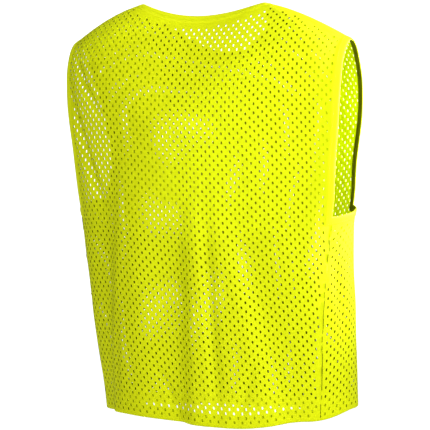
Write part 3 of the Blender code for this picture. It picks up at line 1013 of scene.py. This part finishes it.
# inset, stand
BAND_PROFILE = (
    (1.05, 0.0000),
    (1.00, 0.0003),
    (0.90, 0.0005),
    (0.81, 0.0005),
    (0.55, 0.0008),
    (0.28, 0.0009),
    (0.10, 0.0007),
    (-0.01, 0.0003),
    (-0.05, -0.0004),
    (-0.01, -0.0011),
    (0.12, -0.0017),
    (0.50, -0.0020),
    (0.81, -0.0018),
    (1.00, -0.0016),
)
FACE_ROW = 4
INSIDE_ROW = 9
NORMAL_ROUNDS = 3
SAME_PLACE = 1e-6


def band_normals(outer, inner):
    """The cloth's outward direction at each step of a band."""
    count = len(outer)
    normals = []
    for step in range(count):
        along = outer[(step + 1) % count] - outer[step - 1]
        normals.append(along.cross(inner[step] - outer[step]).normalized())
    out = sum(normal.dot(edge - BODY_MIDDLE) for normal, edge in zip(normals, outer))
    normals = [normal * math.copysign(1, out) for normal in normals]
    for _ in range(NORMAL_ROUNDS):
        normals = [(normals[step - 1] + normals[step] * 2 + normals[(step + 1) % count]).normalized()
                   for step in range(count)]
    return normals


def closed_band(lines):
    """A closed band of faces through lines of points."""
    band = bmesh.new()
    count, rows = len(lines[0]), len(lines) - 1
    bmesh.ops.create_grid(band, x_segments=count, y_segments=rows, size=0.5)
    flat_map = band.loops.layers.uv.new("flat")
    lengths = running_lengths(lines[0] + lines[0][:1])
    for face in band.faces:
        # The rows past INSIDE_ROW, on the band's inner face, get the painted shade.
        face.material_index = (face.calc_center_median().y + 0.5) * rows > INSIDE_ROW
        for loop in face.loops:
            step, row = round((loop.vert.co.x + 0.5) * count), round((loop.vert.co.y + 0.5) * rows)
            loop[flat_map].uv = (lengths[step], row * BAND_WALL)
    for vert in band.verts:
        step, row = round((vert.co.x + 0.5) * count), round((vert.co.y + 0.5) * rows)
        vert.co = lines[row][step % count]
    bmesh.ops.remove_doubles(band, verts=band.verts[:], dist=WELD)
    return band


def fold_band(name, outer, inner):
    """A binding folded over an edge, as a piece, and the directions out of its cloth."""
    normals = band_normals(outer, inner)
    lines = [[blend(edge, inside, inset) + normal * stand
              for edge, inside, normal in zip(outer, inner, normals)]
             for inset, stand in BAND_PROFILE]
    band = closed_band(lines)
    band.normal_update()
    band.faces.ensure_lookup_table()
    outer_faces = [face for face in band.faces
                   if any((vert.co - lines[FACE_ROW][0]).length < SAME_PLACE for vert in face.verts)]
    if sum(face.normal.dot(normals[0]) for face in outer_faces) < 0:
        bmesh.ops.reverse_faces(band, faces=band.faces[:])
    return make_piece(name, band, (binding_face, binding_inside_painted_shade), BAND_WALL), normals


# %% [markdown]
# ## Bindings and panels in place
#
# Each piece now stands in for its solid.

# %% Bind the neck and the armholes
bands = {}
for name, (outer, inner) in BINDINGS.items():
    piece, normals = fold_band(name.replace("binding", "band"), outer, inner)
    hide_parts(name)
    bands[name] = (piece, outer, inner, normals)
    print(piece.name, "has", len(piece.data.polygons), "faces")
for piece, node in ((back_piece, "back_panel"), (front_piece, "front_panel")):
    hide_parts(node)

# %% [markdown]
# ## Stitches
#
# The bindings and the hem are sewn down with a lockstitch, about three stitches to the centimetre.
# Each stitch is a small drop of thread that lies on the cloth, so an icosphere of 20 faces, drawn
# long, is enough. They are set one after another along a line.

# %% Sew along a line
STITCH = 0.0026
STITCH_PITCH = 0.0034
THREAD_RADIUS = 0.00035
STITCH_STAND = 0.0006
STITCH_INSET = 0.81


def sew(name, line, stands):
    """A row of stitches along a line, each turned to lie on the cloth."""
    lengths = running_lengths(line)
    seam = bmesh.new()
    for step in range(int(lengths[-1] / STITCH_PITCH)):
        place = (step + 0.5) * STITCH_PITCH
        index = min(len(line) - 2, bisect_right(lengths, place) - 1)
        share = (place - lengths[index]) / (lengths[index + 1] - lengths[index])
        along = (line[index + 1] - line[index]).normalized()
        out = blend(stands[index], stands[index + 1], share)
        beside = out.cross(along).normalized()
        turn = Matrix((along, beside, along.cross(beside))).transposed().to_4x4()
        size = Matrix.Diagonal((STITCH / 2, THREAD_RADIUS, THREAD_RADIUS, 1.0))
        place = Matrix.Translation(blend(line[index], line[index + 1], share))
        bmesh.ops.create_icosphere(seam, subdivisions=1, radius=1.0, matrix=place @ turn @ size)
    return make_piece(name, seam, (thread,))


stitch_rows = {}
for name, (piece, outer, inner, normals) in bands.items():
    line = [blend(edge, inside, STITCH_INSET) + normal * STITCH_STAND
            for edge, inside, normal in zip(outer, inner, normals)]
    row = sew(name.replace("binding", "stitches"), line + line[:1], normals + normals[:1])
    stitch_rows[name] = row
print("Stitch rows:", [row.name for row in stitch_rows.values()])

# %% [markdown]
# ## The hem's stitches
#
# The turned hem is held by one row, just under its upper edge.

# %% The hem's stitches
HEM_STITCH_HEIGHT = 0.0148
HEM_STITCH_STEPS = 360
HEM_STITCH_STAND = 0.0002


def hem_stitch_line():
    """The stitch line right round the hem, and the directions out of the cloth."""
    line, stands = [], []
    for step in range(HEM_STITCH_STEPS + 1):
        angle = 360.0 * step / HEM_STITCH_STEPS
        height = hem_height(angle) + HEM_STITCH_HEIGHT
        along = body_point(height, angle + 0.5) - body_point(height, angle - 0.5)
        out = Vector((along.y, -along.x, 0.0)).normalized()
        line.append(body_point(height, angle) + out * HEM_STITCH_STAND)
        stands.append(out)
    return line, stands


hem_row = sew("hem_stitches", *hem_stitch_line())

# %% [markdown]
# ## Floor, light and camera
#
# The picture was taken in a white studio: a soft light high on the right, a wide one beside the
# camera, a weak one above, and a lit sheet of paper behind. A small lamp with a narrow beam shines
# on the front's right edge from outside, so that the cloth seen through the armhole glows. The
# paper curves up out of the floor, and the vest hangs clear of it.

# %% Lit paper and floor
FLOOR_HEIGHT = -0.95
FLOOR_HALF_WIDTH = 7.0
PAPER_LIFT = 0.002
CAMERA_AZIMUTH = math.radians(204)
CAMERA_ELEVATION = math.radians(4)
CAMERA_DISTANCE = 3.0
PAPER_DISTANCE = 5.0
PAPER_HALF_WIDTH = 1.6
PAPER_START = 1.2
PAPER_RISE = 1.0
CURVE_RADIUS = 1.0
look_at = Vector((0.0, -0.04, -0.30))
to_camera = Vector((math.sin(CAMERA_AZIMUTH), -math.cos(CAMERA_AZIMUTH), 0.0))


def plain_material(name, colour, glow=0.0):
    """Matt paper, lit from within if it glows."""
    material = bpy.data.materials.new(name)
    material.use_nodes = True
    shader = material.node_tree.nodes["Principled BSDF"]
    shader.inputs["Base Color"].default_value = linear(colour)
    shader.inputs["Roughness"].default_value = 0.9
    shader.inputs["Specular IOR Level"].default_value = 0.1
    shader.inputs["Emission Color"].default_value = linear(colour)
    shader.inputs["Emission Strength"].default_value = glow
    return material


def stage_piece(name, shape, material):
    """A floor or backdrop."""
    mesh = bpy.data.meshes.new(name)
    shape.to_mesh(mesh)
    shape.free()
    mesh.materials.append(material)
    piece = bpy.data.objects.new(name, mesh)
    bpy.context.scene.collection.objects.link(piece)
    return piece


floor_shape = bmesh.new()
bmesh.ops.create_grid(floor_shape, x_segments=1, y_segments=1, size=FLOOR_HALF_WIDTH)
bmesh.ops.translate(floor_shape, verts=floor_shape.verts[:], vec=(0.0, 0.0, FLOOR_HEIGHT))
stage_piece("floor", floor_shape, plain_material("pale_floor", "#F4F4F2", 0.05))

beside = Vector((-to_camera.y, to_camera.x, 0.0)) * PAPER_HALF_WIDTH
bend = PAPER_DISTANCE - CURVE_RADIUS
paper_shape = bmesh.new()
lowest = Vector((0.0, 0.0, FLOOR_HEIGHT + PAPER_LIFT))
front_ends = [paper_shape.verts.new(lowest - to_camera * PAPER_START + beside * side) for side in (-1, 1)]
back_ends = [paper_shape.verts.new(lowest - to_camera * bend + beside * side) for side in (-1, 1)]
paper_shape.faces.new((front_ends[0], front_ends[1], back_ends[1], back_ends[0]))
curve = bmesh.ops.spin(
    paper_shape, geom=[paper_shape.edges.get(back_ends)], cent=lowest - to_camera * bend
    + Vector((0.0, 0.0, CURVE_RADIUS)), axis=beside.normalized(), angle=math.pi / 2, steps=16)
top_edges = [item for item in curve["geom_last"] if isinstance(item, bmesh.types.BMEdge)]
raised = bmesh.ops.extrude_edge_only(paper_shape, edges=top_edges)
raised_verts = [item for item in raised["geom"] if isinstance(item, bmesh.types.BMVert)]
bmesh.ops.translate(paper_shape, verts=raised_verts, vec=(0.0, 0.0, PAPER_RISE))
paper = stage_piece("paper", paper_shape, plain_material("lit_paper", "#FFFFFF", 0.8))
paper.data.shade_smooth()

# %% [markdown]
# ## Lights
#
# Each light is placed by its azimuth, elevation and distance from what it looks at.

# %% Soft lights
def soft_light(name, azimuth, elevation, distance, size, power, look_at=look_at):
    """A square soft light that looks at the vest from an azimuth and elevation in degrees."""
    turn, rise = math.radians(azimuth), math.radians(elevation)
    away = Vector((math.sin(turn) * math.cos(rise), -math.cos(turn) * math.cos(rise), math.sin(rise)))
    data = bpy.data.lights.new(name, "AREA")
    data.size = size
    data.energy = power
    light = bpy.data.objects.new(name, data)
    light.location = look_at + away * distance
    light.rotation_euler = (-away).to_track_quat("-Z", "Y").to_euler()
    bpy.context.scene.collection.objects.link(light)
    return light


soft_light("key", 244, 26, 2.6, 1.2, 40)
soft_light("fill", 184, 10, 3.0, 2.0, 29)
soft_light("top", 205, 78, 2.2, 1.2, 8)
edge_light = soft_light("edge", 306, 8, 1.2, 0.22, 3.0, look_at=Vector((-0.190, -0.100, -0.160)))
edge_light.data.spread = math.radians(24)

world = bpy.data.worlds.new("studio")
world.use_nodes = True
world.node_tree.nodes["Background"].inputs["Color"].default_value = linear("#FFFFFF")
world.node_tree.nodes["Background"].inputs["Strength"].default_value = 0.20
bpy.context.scene.world = world
bpy.context.scene.view_settings.view_transform = "Standard"

# %% [markdown]
# ## Camera
#
# A long lens from behind and a little to the wearer's right.

# %% Camera
CAMERA_LENS = 175.6
camera_data = bpy.data.cameras.new("camera")
camera_data.lens = CAMERA_LENS
camera_data.sensor_width = 36.0
camera = bpy.data.objects.new("camera", camera_data)
rise = Vector((0.0, 0.0, math.sin(CAMERA_ELEVATION)))
camera_way = to_camera * math.cos(CAMERA_ELEVATION) + rise
camera.location = look_at + camera_way * CAMERA_DISTANCE
camera.rotation_euler = (-camera_way).to_track_quat("-Z", "Y").to_euler()
bpy.context.scene.collection.objects.link(camera)
bpy.context.scene.camera = camera
print("Camera at", [round(value, 3) for value in camera.location])
